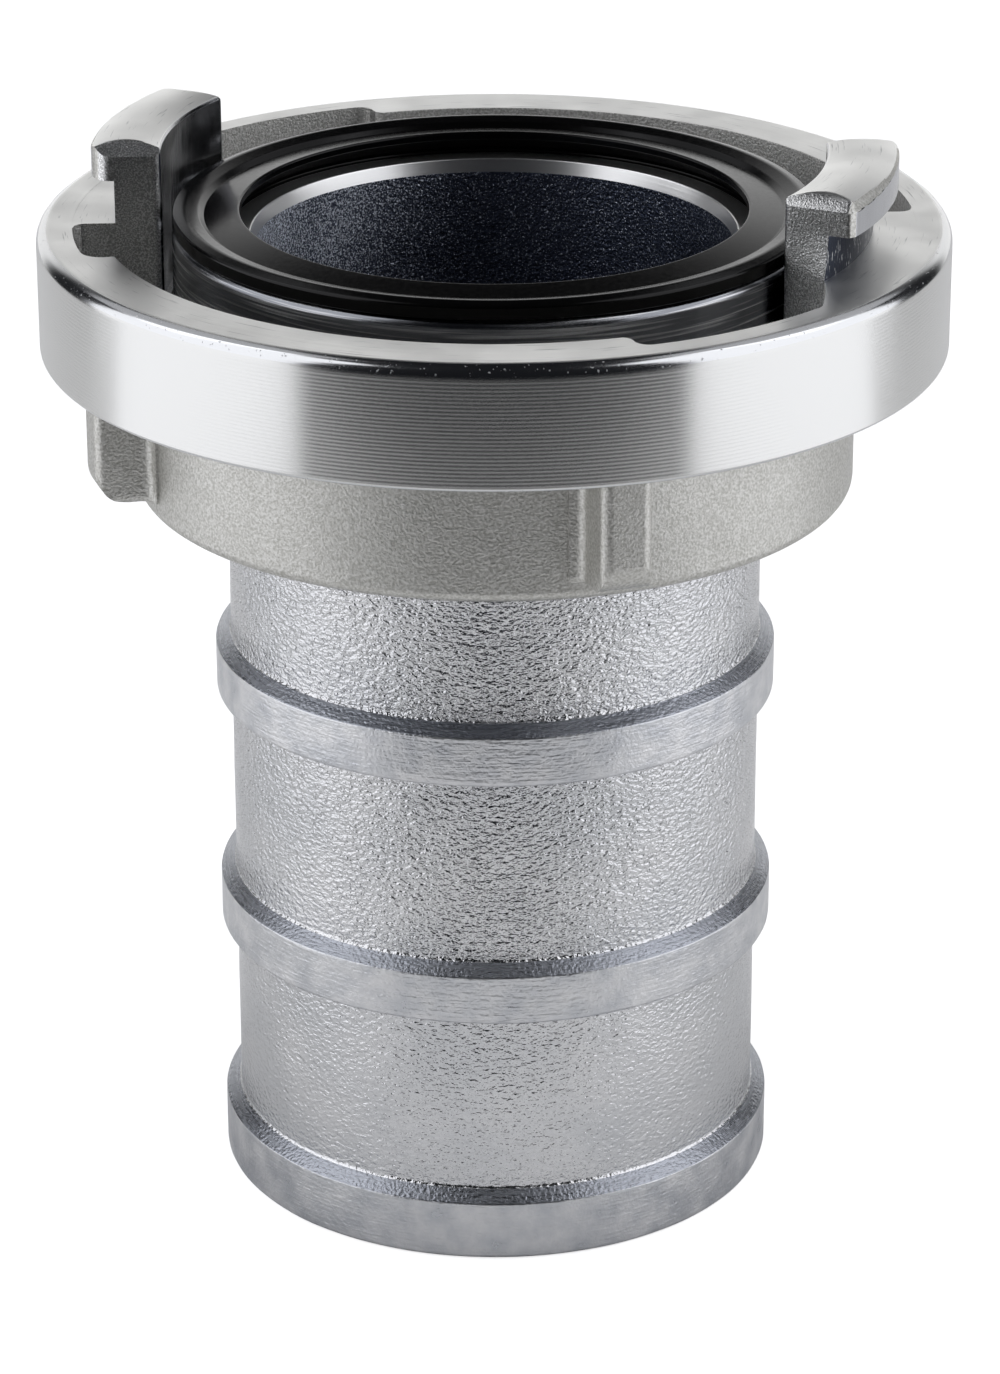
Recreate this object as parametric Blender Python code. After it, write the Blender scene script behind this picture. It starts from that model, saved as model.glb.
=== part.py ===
"""Swivelling claw coupling with a barbed suction-hose tail.

A lug ring turns freely on the collar of a hose tail. Its two hooked lugs and its undercut flange are
the same on both halves of a joint, so any two rings lock together. A split wire ring keeps the lug
ring on the collar, and a rubber ring in the collar's end seals face to face.
The axis of the hose is Z, the tail's end stands at z = 0 and the lugs point up.
"""

import math

import bmesh
import bpy
from mathutils import Matrix, Vector

MM = 0.001

# Facets of a full turn, of a fillet and of one lug
TURN_STEPS = 64
FILLET_STEPS = 3
LUG_STEPS = 8
WIRE_POINTS = 60

# Clearances
RUN_CLEARANCE = 0.3 * MM
PASS_CLEARANCE = 0.3 * MM
SEAT_CLEARANCE = 0.3 * MM
WIRE_CLEARANCE = 0.3 * MM
SEAL_CLEARANCE = 0.3 * MM

# Hose tail: stem, barbs and bore
STEM_RADIUS = 37.5 * MM
TAIL_WALL = 4.5 * MM
BARB_HEIGHT = 2.2 * MM
BARB_BAND = 7.2 * MM
BARB_RAMP = 1.65 * MM
BARB_EDGE = 0.5 * MM
BARB_BOTTOMS = (36.9 * MM, 72.8 * MM)
END_BAND = 8.75 * MM
END_EDGE = 0.8 * MM
BORE_EDGE = 0.6 * MM
TAIL_REACH = 103.7 * MM

# Collar of the hose tail, which carries the lug ring and the seal
SHOULDER = 4.4 * MM
JOURNAL_INSET = 0.8 * MM
COLLAR_DROP = 0.15 * MM
COLLAR_ROUND = 1.8 * MM
OUTER_RIM = 2.2 * MM
INNER_RIM = 3.2 * MM
SEAL_DEPTH = 8.0 * MM
MOUTH_DROP = 1.4 * MM
MOUTH_STEP = 0.6 * MM
MOUTH_DEPTH = 1.9 * MM

# Lug ring: hub, flange and the channel that takes the other half's hooks
HUB_WALL = 5.5 * MM
HUB_ROUND = 1.6 * MM
HUB_HEIGHT = 20.5 * MM
THRUST_LIP = 6.3 * MM
WEB = 5.8 * MM
CHANNEL_HEIGHT = 5.5 * MM
CLAW_LIP = 5.65 * MM
RIM_WALL = 4.6 * MM
FLANGE_ROUND = 1.9 * MM
FLANGE_EDGE = 0.5 * MM

# Lugs of the lug ring, with the openings beside them
LUG_COUNT = 2
LUG_CENTRE = -15.2
LUG_ARC = 35.4
LUG_GAP = 1.2 * MM
NECK = 6.5 * MM
HOOK_OVERHANG = 3.3 * MM
HOOK_GAP = 6.05 * MM
HEAD_THICKNESS = 5.2 * MM
LUG_CROWN = 0.9 * MM
LUG_END_ROUND = 2.4 * MM
LUG_ROOT_SINK = 2.0 * MM
LIP_GAP = 1.4 * MM
ENTRY_GAP = 2.4 * MM
CHANNEL_GAP = 0.6 * MM
ENTRY_ARC = 38.4
SHELF_ARC = 9.5
RELIEF_ARC = 16.0
OPENING_ROUND = 2.0 * MM

# Spanner ribs on the hub
RIB_COUNT = 4
RIB_ANGLE = -72.5
RIB_WIDTH = 7.8 * MM
RIB_DRAFT = 0.5 * MM
RIB_HEIGHT = 7.7 * MM
RIB_FOOT = 2.8 * MM
RIB_TOE = 4.5 * MM
RIB_ROUND = 1.3 * MM
RIB_SINK = 1.5 * MM

# Split wire ring
WIRE_RADIUS = 1.4 * MM
WIRE_HEIGHT = 8.0 * MM
WIRE_OPENING = 9.0

# Face seal
SEAL_EDGE = 0.4 * MM
SEAL_RIDGE = 4.4 * MM
SEAL_RIDGE_RISE = 1.4 * MM
SEAL_LAND = 1.0 * MM
SEAL_STEP = 0.4 * MM
SEAL_OVERHANG = 1.4 * MM
SEAL_LIP_RISE = 2.2 * MM
SEAL_LIP = 1.1 * MM
SEAL_ROUND = 0.4 * MM

# Radii that follow from the sizes above, from the bore outwards
BORE_RADIUS = STEM_RADIUS - TAIL_WALL
MOUTH_RADIUS = BORE_RADIUS + MOUTH_STEP
BARB_RADIUS = STEM_RADIUS + BARB_HEIGHT
JOURNAL_RADIUS = BARB_RADIUS + PASS_CLEARANCE
THRUST_RADIUS = JOURNAL_RADIUS + RUN_CLEARANCE
COLLAR_RADIUS = JOURNAL_RADIUS + SHOULDER
HUB_BORE = COLLAR_RADIUS + RUN_CLEARANCE
HUB_RADIUS = HUB_BORE + HUB_WALL
LUG_INNER = COLLAR_RADIUS + LUG_GAP
NECK_RADIUS = LUG_INNER + NECK
HEAD_RADIUS = NECK_RADIUS + HOOK_OVERHANG
CLAW_RADIUS = NECK_RADIUS + LIP_GAP
SLOT_RADIUS = HEAD_RADIUS + ENTRY_GAP
CHANNEL_RADIUS = SLOT_RADIUS + CHANNEL_GAP
FLANGE_RADIUS = CHANNEL_RADIUS + RIM_WALL

# Heights that follow from the sizes above, from the tail's end upwards
THRUST_TOP = TAIL_REACH + THRUST_LIP
COLLAR_BOTTOM = THRUST_TOP + SEAT_CLEARANCE
FLANGE_BOTTOM = TAIL_REACH + HUB_HEIGHT
CHANNEL_FLOOR = FLANGE_BOTTOM + WEB
CLAW_UNDERSIDE = CHANNEL_FLOOR + CHANNEL_HEIGHT
FLANGE_TOP = CLAW_UNDERSIDE + CLAW_LIP
HEAD_UNDERSIDE = FLANGE_TOP + HOOK_GAP
LUG_TOP = HEAD_UNDERSIDE + HEAD_THICKNESS
COLLAR_TOP = FLANGE_TOP - COLLAR_DROP
MOUTH_TOP = COLLAR_TOP - MOUTH_DROP
SEAL_FLOOR = COLLAR_TOP - SEAL_DEPTH

# The wire ring lies half in the collar and half in the hub
WIRE_CENTRE = (COLLAR_RADIUS + HUB_BORE) / 2
WIRE_LEVEL = COLLAR_BOTTOM + WIRE_HEIGHT
WIRE_ROOM = WIRE_RADIUS + WIRE_CLEARANCE


def clear_scene():
    for item in list(bpy.data.objects):
        bpy.data.objects.remove(item, do_unlink=True)


def material(name, colour, roughness, metallic):
    finish = bpy.data.materials.new(name)
    finish.use_nodes = True
    shader = finish.node_tree.nodes["Principled BSDF"]
    shader.inputs["Base Color"].default_value = (*colour, 1.0)
    shader.inputs["Roughness"].default_value = roughness
    shader.inputs["Metallic"].default_value = metallic
    return finish


def outline(corners):
    """Points of a closed polygon whose corners are (x, y, fillet radius)."""
    points = []
    for index, (x, y, radius) in enumerate(corners):
        corner = Vector((x, y))
        if radius == 0:
            points.append(corner)
            continue
        before = Vector(corners[index - 1][:2]) - corner
        after = Vector(corners[(index + 1) % len(corners)][:2]) - corner
        half = before.angle(after) / 2
        reach = radius / math.tan(half)
        start = corner + before.normalized() * reach
        centre = corner + (before.normalized() + after.normalized()).normalized() * radius / math.sin(half)
        turn = (start - centre).angle_signed(corner + after.normalized() * reach - centre)
        for step in range(FILLET_STEPS + 1):
            spoke = (start - centre).copy()
            spoke.rotate(Matrix.Rotation(-turn * step / FILLET_STEPS, 2))
            points.append(centre + spoke)
    return points


def polar(radius, degrees, height):
    turn = math.radians(degrees)
    return Vector((radius * math.cos(turn), radius * math.sin(turn), height))


def arc(radius, start, end, steps):
    return [(radius, start + (end - start) * step / steps) for step in range(steps + 1)]


def closed_mesh(name, shape):
    bmesh.ops.recalc_face_normals(shape, faces=shape.faces)
    mesh = bpy.data.meshes.new(name)
    shape.to_mesh(mesh)
    shape.free()
    mesh.shade_smooth()
    mesh.set_sharp_from_angle(angle=math.radians(30))
    return mesh


def new_object(name, mesh, finish=None):
    item = bpy.data.objects.new(name, mesh)
    bpy.context.collection.objects.link(item)
    if finish:
        mesh.materials.append(finish)
    return item


def turned(name, corners, finish):
    """A ring turned from a section of (radius, height, fillet) corners."""
    shape = bmesh.new()
    loop = [shape.verts.new((point.x, 0.0, point.y)) for point in outline(corners)]
    edges = [shape.edges.new((loop[index - 1], loop[index])) for index in range(len(loop))]
    bmesh.ops.spin(
        shape,
        geom=loop + edges,
        cent=(0.0, 0.0, 0.0),
        axis=(0.0, 0.0, 1.0),
        angle=math.tau,
        steps=TURN_STEPS,
        use_merge=True,
    )
    return new_object(name, closed_mesh(name, shape), finish)


def helper(name, shapes):
    """One hidden object that holds several closed shapes, for a Boolean."""
    joined = bmesh.new()
    for shape in shapes:
        part = bpy.data.meshes.new(name)
        shape.to_mesh(part)
        shape.free()
        joined.from_mesh(part)
        bpy.data.meshes.remove(part)
    item = new_object(name, closed_mesh(name, joined))
    item.hide_render = True
    item.display_type = "WIRE"
    return item


def boolean(item, operation, other):
    step = item.modifiers.new(other.name, "BOOLEAN")
    step.operation = operation
    step.solver = "EXACT"
    step.object = other


def prism(plan, bottom, top):
    """A plan of (radius, degrees) points raised from one height to another."""
    shape = bmesh.new()
    face = shape.faces.new([shape.verts.new(polar(radius, degrees, bottom)) for radius, degrees in plan])
    raised = bmesh.ops.extrude_face_region(shape, geom=[face])["geom"]
    lifted = [part for part in raised if isinstance(part, bmesh.types.BMVert)]
    bmesh.ops.translate(shape, verts=lifted, vec=(0.0, 0.0, top - bottom))
    bmesh.ops.recalc_face_normals(shape, faces=shape.faces)
    return shape


def arc_angle(length, radius):
    return math.degrees(length / radius)


def opening_shape(lug_angle):
    """Room in the claw lip from the entry beside a lug to the relief behind it."""
    start = lug_angle - LUG_ARC / 2 - ENTRY_ARC
    end = lug_angle + LUG_ARC / 2 + RELIEF_ARC
    inner = NECK_RADIUS - NECK / 2
    bend = arc_angle(OPENING_ROUND, SLOT_RADIUS)
    corner_radius = SLOT_RADIUS - OPENING_ROUND
    plan = [(inner, start), (corner_radius, start)]
    plan += arc(SLOT_RADIUS, start + bend, end - bend, TURN_STEPS // 4)
    plan += [(corner_radius, end)]
    plan += arc(inner, end, start, TURN_STEPS // 4)[:-1]
    return prism(plan, CLAW_UNDERSIDE - CHANNEL_HEIGHT / 2, FLANGE_TOP + HOOK_GAP)


def lug_shape(lug_angle):
    """A lug with its crowned and hooked head, its neck and the root that fills the channel."""
    near = lug_angle - LUG_ARC / 2
    foot = CHANNEL_FLOOR - LUG_ROOT_SINK
    root_radius = (CHANNEL_RADIUS + FLANGE_RADIUS - FLANGE_ROUND) / 2
    edge = LUG_TOP - LUG_CROWN
    third = (HEAD_RADIUS - LUG_INNER) / 3
    section = [
        (LUG_INNER, foot),
        (NECK_RADIUS, foot),
        (root_radius, foot),
        (root_radius, FLANGE_TOP),
        (NECK_RADIUS, FLANGE_TOP),
        (NECK_RADIUS, HEAD_UNDERSIDE),
        (HEAD_RADIUS, HEAD_UNDERSIDE),
        (HEAD_RADIUS, edge),
        (HEAD_RADIUS - third, LUG_TOP),
        (LUG_INNER + third, LUG_TOP),
        (LUG_INNER, edge),
    ]
    shape = bmesh.new()
    rows = []
    for step in range(LUG_STEPS + 1):
        angle = near + LUG_ARC * step / LUG_STEPS
        row = []
        for radius, height in section:
            shelf = SHELF_ARC if step == 0 and radius == root_radius else 0.0
            row.append(shape.verts.new(polar(radius, angle - shelf, height)))
        rows.append(row)
    count = len(section)
    for row, following in zip(rows, rows[1:]):
        for index in range(count):
            beside = (index + 1) % count
            shape.faces.new((row[index], row[beside], following[beside], following[index]))
    first = rows[0]
    shape.faces.new(first[:2] + first[4:])
    shape.faces.new(first[1:5])
    shape.faces.new(rows[-1])
    ends = []
    for row in (rows[0], rows[-1]):
        for index in range(6, count - 1):
            ends.append(shape.edges.get((row[index], row[index + 1])))
    bmesh.ops.bevel(
        shape,
        geom=ends,
        offset=LUG_END_ROUND,
        segments=FILLET_STEPS,
        profile=0.5,
        affect="EDGES",
        clamp_overlap=True,
    )
    bmesh.ops.recalc_face_normals(shape, faces=shape.faces)
    return shape


def rib_shape(rib_angle):
    """A drafted spanner rib from the hub's foot up into the flange."""
    bottom = TAIL_REACH + RIB_FOOT
    top = FLANGE_BOTTOM + WEB / 2
    inner = HUB_RADIUS - RIB_SINK
    outer = HUB_RADIUS + RIB_HEIGHT
    side = outline([(inner, bottom, 0), (outer, bottom, RIB_TOE), (outer, top, 0), (inner, top, 0)])
    shape = bmesh.new()
    walls = []
    for sign in (-1, 1):
        wall = []
        for point in side:
            draft = RIB_DRAFT * (point.x - inner) / (outer - inner)
            wall.append(shape.verts.new((point.x, sign * (RIB_WIDTH / 2 - draft), point.y)))
        shape.faces.new(wall)
        walls.append(wall)
    left, right = walls
    for index in range(len(side)):
        shape.faces.new((left[index - 1], left[index], right[index], right[index - 1]))
    long_edges = []
    for wall in walls:
        for index in range(1, len(side) - 2):
            long_edges.append(shape.edges.get((wall[index], wall[index + 1])))
    bmesh.ops.bevel(
        shape,
        geom=long_edges,
        offset=RIB_ROUND,
        segments=2,
        profile=0.5,
        affect="EDGES",
        clamp_overlap=True,
    )
    bmesh.ops.rotate(shape, verts=shape.verts, matrix=Matrix.Rotation(math.radians(rib_angle), 3, "Z"))
    bmesh.ops.recalc_face_normals(shape, faces=shape.faces)
    return shape


def make_hose_tail(finish):
    """Barbed stem below, collar above, with the wire groove outside and the seal groove on top."""
    corners = [
        (BORE_RADIUS, 0.0, BORE_EDGE),
        (BARB_RADIUS, 0.0, END_EDGE),
        (BARB_RADIUS, END_BAND, 0),
        (STEM_RADIUS, END_BAND + BARB_RAMP, 0),
    ]
    for bottom in BARB_BOTTOMS:
        corners += [
            (STEM_RADIUS, bottom, 0),
            (BARB_RADIUS - BARB_EDGE, bottom, 0),
            (BARB_RADIUS, bottom + BARB_EDGE, 0),
            (BARB_RADIUS, bottom + BARB_BAND, 0),
            (STEM_RADIUS, bottom + BARB_BAND + BARB_RAMP, 0),
        ]
    journal_start = TAIL_REACH + JOURNAL_INSET
    groove = COLLAR_RADIUS - 2 * WIRE_RADIUS - WIRE_CLEARANCE
    seal_outer = COLLAR_RADIUS - OUTER_RIM
    seal_inner = MOUTH_RADIUS + INNER_RIM
    corners += [
        (STEM_RADIUS, journal_start, 0),
        (JOURNAL_RADIUS, journal_start + JOURNAL_RADIUS - STEM_RADIUS, 0),
        (JOURNAL_RADIUS, COLLAR_BOTTOM, 0),
        (COLLAR_RADIUS, COLLAR_BOTTOM, 0),
        (COLLAR_RADIUS, WIRE_LEVEL - WIRE_ROOM, 0),
        (groove, WIRE_LEVEL - WIRE_ROOM, 0),
        (groove, WIRE_LEVEL + WIRE_ROOM, 0),
        (COLLAR_RADIUS, WIRE_LEVEL + WIRE_ROOM, 0),
        (COLLAR_RADIUS, COLLAR_TOP, COLLAR_ROUND),
        (seal_outer, COLLAR_TOP, 0),
        (seal_outer, SEAL_FLOOR, 0),
        (seal_inner, SEAL_FLOOR, 0),
        (seal_inner, MOUTH_TOP, 0),
        (MOUTH_RADIUS, MOUTH_TOP, 0),
        (BORE_RADIUS, MOUTH_TOP - MOUTH_DEPTH, 0),
    ]
    return turned("hose_tail", corners, finish)


def make_face_seal(finish):
    """Rubber ring with a foot in the collar's groove, a sloping flank, a ridge and an inner lip."""
    foot_outer = COLLAR_RADIUS - OUTER_RIM - SEAL_CLEARANCE
    foot_inner = MOUTH_RADIUS + INNER_RIM + SEAL_CLEARANCE
    ridge_outer = COLLAR_RADIUS - SEAL_RIDGE + SEAL_LAND / 2
    ridge_inner = ridge_outer - SEAL_LAND
    lip_inner = MOUTH_RADIUS + SEAL_OVERHANG
    ridge_top = COLLAR_TOP + SEAL_RIDGE_RISE
    lip_top = COLLAR_TOP + SEAL_LIP_RISE
    corners = [
        (foot_inner, SEAL_FLOOR + SEAL_CLEARANCE, 0),
        (foot_outer, SEAL_FLOOR + SEAL_CLEARANCE, 0),
        (foot_outer, COLLAR_TOP + SEAL_EDGE, SEAL_ROUND),
        (ridge_outer, ridge_top, 0),
        (ridge_inner, ridge_top, 0),
        (ridge_inner - SEAL_STEP, ridge_top - SEAL_STEP, 0),
        (lip_inner, lip_top, 0),
        (lip_inner, lip_top - SEAL_LIP, 0),
        (foot_inner, MOUTH_TOP + SEAL_CLEARANCE, 0),
    ]
    return turned("face_seal", corners, finish)


def make_snap_ring(finish):
    """Split ring of spring wire, half in the collar's groove and half in the hub's."""
    curve = bpy.data.curves.new("snap_ring", "CURVE")
    curve.dimensions = "3D"
    curve.bevel_depth = WIRE_RADIUS
    curve.bevel_resolution = 2
    curve.use_fill_caps = True
    spline = curve.splines.new("POLY")
    spline.points.add(WIRE_POINTS - 1)
    start = RIB_ANGLE + WIRE_OPENING / 2
    for index, (radius, degrees) in enumerate(
        arc(WIRE_CENTRE, start, start + 360.0 - WIRE_OPENING, WIRE_POINTS - 1)
    ):
        spline.points[index].co = (*polar(radius, degrees, WIRE_LEVEL), 1.0)
    return new_object("snap_ring", curve, finish)


def make_lug_ring(finish):
    """Hub, flange and claw lip turned in one section, then cut open and given lugs and ribs."""
    wire_groove = WIRE_CENTRE + WIRE_ROOM
    corners = [
        (THRUST_RADIUS, TAIL_REACH, 0),
        (HUB_RADIUS, TAIL_REACH, HUB_ROUND),
        (HUB_RADIUS, FLANGE_BOTTOM, 0),
        (FLANGE_RADIUS - FLANGE_EDGE, FLANGE_BOTTOM, 0),
        (FLANGE_RADIUS, FLANGE_BOTTOM + FLANGE_EDGE, 0),
        (FLANGE_RADIUS, FLANGE_TOP, FLANGE_ROUND),
        (CLAW_RADIUS, FLANGE_TOP, 0),
        (CLAW_RADIUS, CLAW_UNDERSIDE, 0),
        (CHANNEL_RADIUS, CLAW_UNDERSIDE, 0),
        (CHANNEL_RADIUS, CHANNEL_FLOOR, 0),
        (HUB_BORE, CHANNEL_FLOOR, 0),
        (HUB_BORE, WIRE_LEVEL + WIRE_ROOM, 0),
        (wire_groove, WIRE_LEVEL + WIRE_ROOM, 0),
        (wire_groove, WIRE_LEVEL - WIRE_ROOM, 0),
        (HUB_BORE, WIRE_LEVEL - WIRE_ROOM, 0),
        (HUB_BORE, THRUST_TOP, 0),
        (THRUST_RADIUS, THRUST_TOP, 0),
    ]
    ring = turned("lug_ring", corners, finish)
    lug_angles = [LUG_CENTRE + 360.0 * index / LUG_COUNT for index in range(LUG_COUNT)]
    rib_angles = [RIB_ANGLE + 360.0 * index / RIB_COUNT for index in range(RIB_COUNT)]
    boolean(ring, "DIFFERENCE", helper("claw_openings", [opening_shape(angle) for angle in lug_angles]))
    boolean(ring, "UNION", helper("hooked_lugs", [lug_shape(angle) for angle in lug_angles]))
    boolean(ring, "UNION", helper("spanner_ribs", [rib_shape(angle) for angle in rib_angles]))
    return ring


def main():
    clear_scene()
    cast = material("tumbled_aluminium", (0.62, 0.64, 0.67), 0.35, 1.0)
    forged = material("forged_aluminium", (0.60, 0.60, 0.59), 0.42, 1.0)
    rubber = material("black_rubber", (0.012, 0.012, 0.012), 0.45, 0.0)
    steel = material("spring_steel", (0.45, 0.45, 0.46), 0.30, 1.0)
    make_hose_tail(cast)
    make_face_seal(rubber)
    make_snap_ring(steel)
    make_lug_ring(forged)


main()
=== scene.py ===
import math

import bmesh
import bpy
from mathutils import Matrix, Vector, noise


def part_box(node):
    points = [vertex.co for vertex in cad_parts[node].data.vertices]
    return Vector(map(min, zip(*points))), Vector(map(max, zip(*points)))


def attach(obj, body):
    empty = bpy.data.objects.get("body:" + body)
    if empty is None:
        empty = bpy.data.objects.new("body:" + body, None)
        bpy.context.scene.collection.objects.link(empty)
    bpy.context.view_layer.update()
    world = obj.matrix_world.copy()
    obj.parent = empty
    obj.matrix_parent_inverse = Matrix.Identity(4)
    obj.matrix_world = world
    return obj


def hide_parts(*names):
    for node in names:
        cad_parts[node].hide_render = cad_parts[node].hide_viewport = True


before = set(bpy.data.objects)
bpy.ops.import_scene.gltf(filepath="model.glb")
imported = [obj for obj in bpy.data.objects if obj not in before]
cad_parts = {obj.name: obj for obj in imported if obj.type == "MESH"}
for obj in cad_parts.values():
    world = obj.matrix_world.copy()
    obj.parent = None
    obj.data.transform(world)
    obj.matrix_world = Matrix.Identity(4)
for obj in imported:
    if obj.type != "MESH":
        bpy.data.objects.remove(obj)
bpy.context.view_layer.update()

mm = 0.001
scene = bpy.context.scene
scene.view_settings.view_transform = "Standard"
print("frame loaded:", ", ".join(sorted(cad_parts)))

# the sizes that every piece shares come from the frame, in millimetres
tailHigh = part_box("hose_tail")[1] / mm
ringLow, ringHigh = (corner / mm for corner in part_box("lug_ring"))
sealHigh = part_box("face_seal")[1] / mm
collarRadius, collarTop = tailHigh.x, tailHigh.z
flangeRadius, hubBottom, lugTop = ringHigh.x, ringLow.z, ringHigh.z
flangeStep = 0.22  # how far the flange's top stands above the collar's
flangeTop = collarTop + flangeStep


# nodes and colours

def colour(code):
    # sRGB hex to the linear values that a shader reads
    parts = [int(code[i:i + 2], 16) / 255 for i in (1, 3, 5)]
    return [p / 12.92 if p <= 0.04045 else ((p + 0.055) / 1.055) ** 2.4 for p in parts] + [1.0]


def addNode(tree, kind, links=None, **settings):
    # one node, its settings, and its inputs as plain values or as sockets to link from
    made = tree.nodes.new(kind)
    for key, value in settings.items():
        setattr(made, key, value)
    for key, value in (links or {}).items():
        if isinstance(value, bpy.types.NodeSocket):
            tree.links.new(value, made.inputs[key])
        else:
            made.inputs[key].default_value = value
    return made


def perMetre(size):
    # how often a pattern of this many millimetres repeats in a metre
    return 1 / (size * mm)


def newFinish(name, metallic, roughness, base):
    finish = bpy.data.materials.new(name)
    finish.use_nodes = True
    tree = finish.node_tree
    shader = tree.nodes["Principled BSDF"]
    shader.inputs["Metallic"].default_value = metallic
    shader.inputs["Roughness"].default_value = roughness
    shader.inputs["Base Color"].default_value = colour(base)
    place = addNode(tree, "ShaderNodeTexCoord").outputs["Object"]
    return finish, tree, shader, place


def grain(tree, place, size, detail=2.0, stretch=(1, 1, 1)):
    # noise whose grains are this many millimetres, drawn out along an axis by stretch
    shrink = [1 / share for share in stretch]
    scaled = addNode(tree, "ShaderNodeVectorMath", {0: place, 1: shrink}, operation="MULTIPLY")
    return addNode(
        tree,
        "ShaderNodeTexNoise",
        {"Vector": scaled.outputs[0], "Scale": perMetre(size), "Detail": detail},
    ).outputs["Fac"]


def relief(tree, shader, height, depth, under=None):
    # bump whose height runs over depth millimetres, on top of another bump if there is one
    links = {"Height": height, "Distance": depth * mm, "Strength": 1.0}
    if under:
        links["Normal"] = under
    bump = addNode(tree, "ShaderNodeBump", links).outputs["Normal"]
    tree.links.new(bump, shader.inputs["Normal"])
    return bump


def spread(tree, shader, socket, source, low, high, start=0.3, end=0.7):
    # a pattern's range laid over a socket's range
    ranged = addNode(
        tree,
        "ShaderNodeMapRange",
        {"Value": source, "From Min": start, "From Max": end, "To Min": low, "To Max": high},
    ).outputs["Result"]
    tree.links.new(ranged, shader.inputs[socket])


def tint(tree, shader, source, first, second, start=0.35, end=0.65):
    # base colour that wanders between two colours with a pattern
    share = addNode(
        tree, "ShaderNodeMapRange", {"Value": source, "From Min": start, "From Max": end}
    ).outputs["Result"]
    # inputs 6 and 7 and output 2 are the colours of a mix node
    mixed = addNode(
        tree, "ShaderNodeMix", {0: share, 6: colour(first), 7: colour(second)}, data_type="RGBA"
    )
    tree.links.new(mixed.outputs[2], shader.inputs["Base Color"])


def ringRadius(tree, place):
    # distance from the hose axis
    flat = addNode(tree, "ShaderNodeVectorMath", {0: place, 1: (1, 1, 0)}, operation="MULTIPLY")
    length = addNode(tree, "ShaderNodeVectorMath", {0: flat.outputs[0]}, operation="LENGTH")
    return length.outputs["Value"]


def unrolled(tree, place):
    # radius, way round the flange and height, for marks that follow the ring
    parts = addNode(tree, "ShaderNodeSeparateXYZ", {0: place}).outputs
    angle = addNode(tree, "ShaderNodeMath", {0: parts["Y"], 1: parts["X"]}, operation="ARCTAN2").outputs[0]
    way = addNode(tree, "ShaderNodeMath", {0: angle, 1: flangeRadius * mm}, operation="MULTIPLY").outputs[0]
    links = {0: ringRadius(tree, place), 1: way, 2: parts["Z"]}
    return addNode(tree, "ShaderNodeCombineXYZ", links).outputs[0]


def turnedRings(tree, place, pitch):
    # random concentric tool marks of about this pitch on a faced surface
    return addNode(
        tree,
        "ShaderNodeTexNoise",
        {"W": ringRadius(tree, place), "Scale": perMetre(pitch), "Detail": 3.0},
        noise_dimensions="1D",
    ).outputs["Fac"]


# finishes: a pixel of the picture is about 0.2 mm, so scratches and tool lines, which are finer, are
# drawn a few times as wide as they are, so that they show

def makeTumbledAluminium():
    # die-cast aluminium, tumbled: bright, with an orange-peel skin that breaks every reflection up
    finish, tree, shader, place = newFinish("tumbledAluminium", metallic=1.0, roughness=0.20, base="#DBDCDE")
    peel = grain(tree, place, size=0.55, detail=2.0, stretch=(1.4, 1.4, 1.0))
    clouds = grain(tree, place, size=14.0, detail=3.0)
    # the tumbling has worn the skin smoother towards the open end
    wornFrom, wornTo, wornShare = 18, 62, 0.45  # millimetres up the stem, and how much of the peel is left
    height = addNode(tree, "ShaderNodeSeparateXYZ", {0: place}).outputs["Z"]
    worn = addNode(
        tree,
        "ShaderNodeMapRange",
        {"Value": height, "From Min": wornFrom * mm, "From Max": wornTo * mm, "To Min": wornShare},
    ).outputs["Result"]
    skin = addNode(tree, "ShaderNodeMath", {0: peel, 1: worn}, operation="MULTIPLY").outputs[0]
    bump = relief(tree, shader, skin, depth=0.50)
    relief(tree, shader, grain(tree, place, size=0.3, detail=1.0), depth=0.03, under=bump)
    spread(tree, shader, "Roughness", clouds, low=0.14, high=0.24)
    tint(tree, shader, clouds, "#D8D9DB", "#E4E4E5")
    return finish


def makeScuffedAluminium():
    # the barbs' crests, rubbed smooth by tumbling, with fine scratches round the axis
    finish, tree, shader, place = newFinish("scuffedAluminium", metallic=1.0, roughness=0.34, base="#D2D4D8")
    lines = grain(tree, place, size=0.45, detail=3.0, stretch=(9, 9, 0.8))
    peel = grain(tree, place, size=0.6, detail=2.0)
    clouds = grain(tree, place, size=4.0, detail=6.0)
    bump = relief(tree, shader, peel, depth=0.12)
    relief(tree, shader, lines, depth=0.10, under=bump)
    spread(tree, shader, "Roughness", clouds, low=0.26, high=0.42)
    tint(tree, shader, clouds, "#CBCDD1", "#E7E7E8")
    return finish


def makeTurnedRamp():
    # the barbs' ramps, turned and then lightly pitted by the tumbling: steely, darker than the crests
    finish, tree, shader, place = newFinish("turnedRamp", metallic=1.0, roughness=0.26, base="#A6A9B0")
    lines = grain(tree, place, size=0.5, detail=4.0, stretch=(24, 24, 0.5))
    bump = relief(tree, shader, grain(tree, place, size=0.5, detail=2.0), depth=0.13)
    relief(tree, shader, lines, depth=0.05, under=bump)
    spread(tree, shader, "Roughness", lines, low=0.19, high=0.34)
    return finish


def makeTurnedCollar():
    # machined aluminium: the tool's lines run round the axis as dark and bright streaks
    finish, tree, shader, place = newFinish("turnedCollar", metallic=1.0, roughness=0.22, base="#BDBEC1")
    lines = grain(tree, place, size=0.55, detail=5.0, stretch=(34, 34, 0.6))
    relief(tree, shader, lines, depth=0.045)
    spread(tree, shader, "Roughness", lines, low=0.14, high=0.30)
    tint(tree, shader, lines, "#8A8C91", "#E2E3E5", start=0.48, end=0.66)
    return finish


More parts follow.
